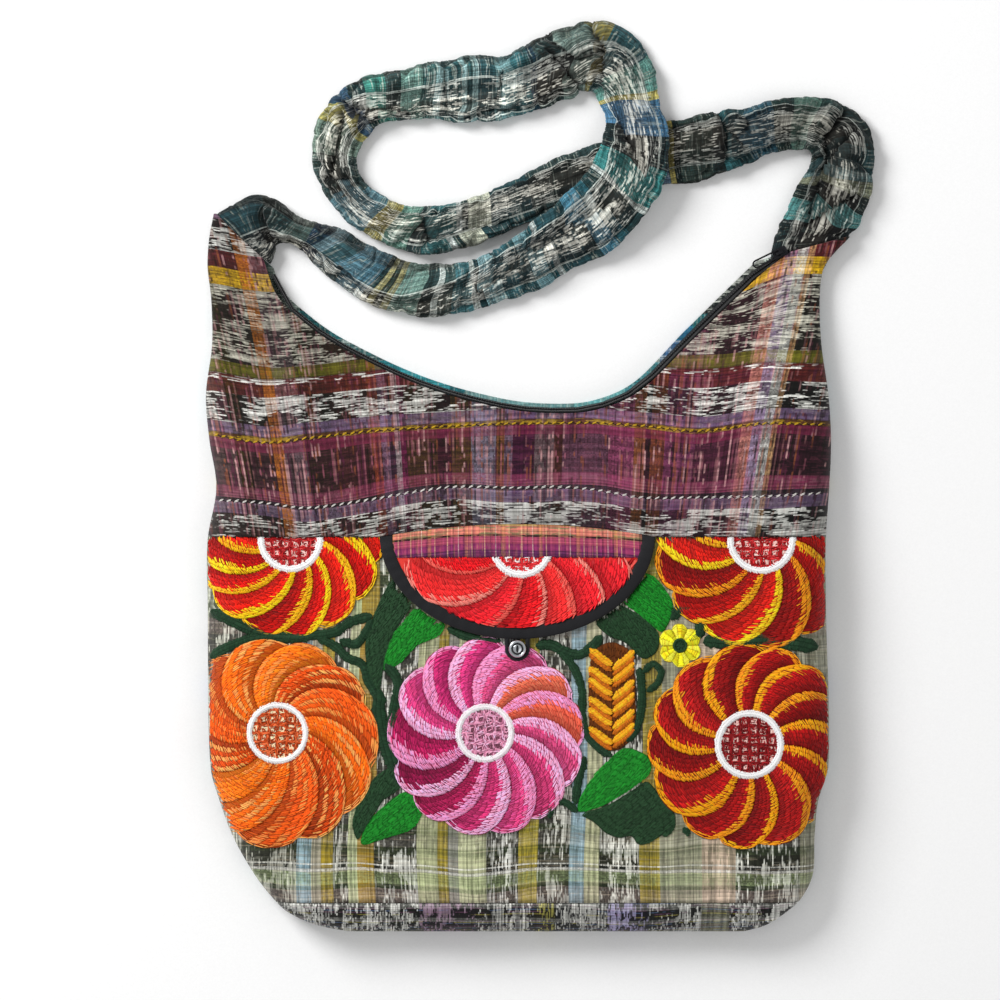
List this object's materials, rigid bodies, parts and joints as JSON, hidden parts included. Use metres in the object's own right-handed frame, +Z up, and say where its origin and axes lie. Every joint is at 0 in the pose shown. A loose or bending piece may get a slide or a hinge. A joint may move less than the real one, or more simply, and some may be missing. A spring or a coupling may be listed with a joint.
{
  "type": "embroidered hobo bag",
  "caption": "Slouchy cloth shoulder bag lying on its back, with a zipped dipped mouth, a bound half-moon pocket flap with button and loop, flower embroidery and a long padded strap.",
  "frame": {"origin": "on the floor, on the flat outer face of the back panel near its middle", "axes": "+Z up from the floor through the front face, +Y from the base towards the strap, +X to the right as seen from above"},
  "size_m": [0.3844, 0.5225, 0.0396],
  "materials": {
    "jaspe_teal": "woven cotton with teal, grey and black streaks",
    "jaspe_plum": "woven cotton with plum, lilac, black and white bands",
    "jaspe_olive": "woven cotton with grey, olive and white streaks under flower embroidery",
    "jaspe_dark": "woven cotton with dark streaks",
    "coral_cloth": "cotton covered by red and coral embroidery",
    "plaid_cloth": "woven plaid cotton",
    "black_cloth": "matt black cotton tape and cord",
    "black_nylon": "black nylon zip",
    "black_metal": "black painted metal",
    "silver_metal": "bright nickel-plated metal"
  },
  "bodies": {
    "bag": {"back_panel": "jaspe_teal", "front_yoke": "jaspe_plum", "front_pocket_panel": "jaspe_olive", "base_gusset": "jaspe_dark", "pocket_flap": "coral_cloth", "flap_top_strip": "plaid_cloth", "flap_binding": "black_cloth", "flap_button": "silver_metal", "button_loop": "black_cloth", "zip_tape_front": "black_nylon", "zip_coil": "black_nylon", "zip_tape_back": "black_nylon", "zip_slider": "black_metal", "shoulder_strap": "jaspe_teal"},
    "pull": {"zip_pull": "black_metal"}
  },
  "joints": [
    {"name": "pull_hinge", "type": "hinge", "parent": "bag", "child": "pull", "pos_m": [0.15, 0.2394, 0.0143], "axis": [-0.4384, 0.8988, 0], "range_deg": [0, 130]}
  ]
}
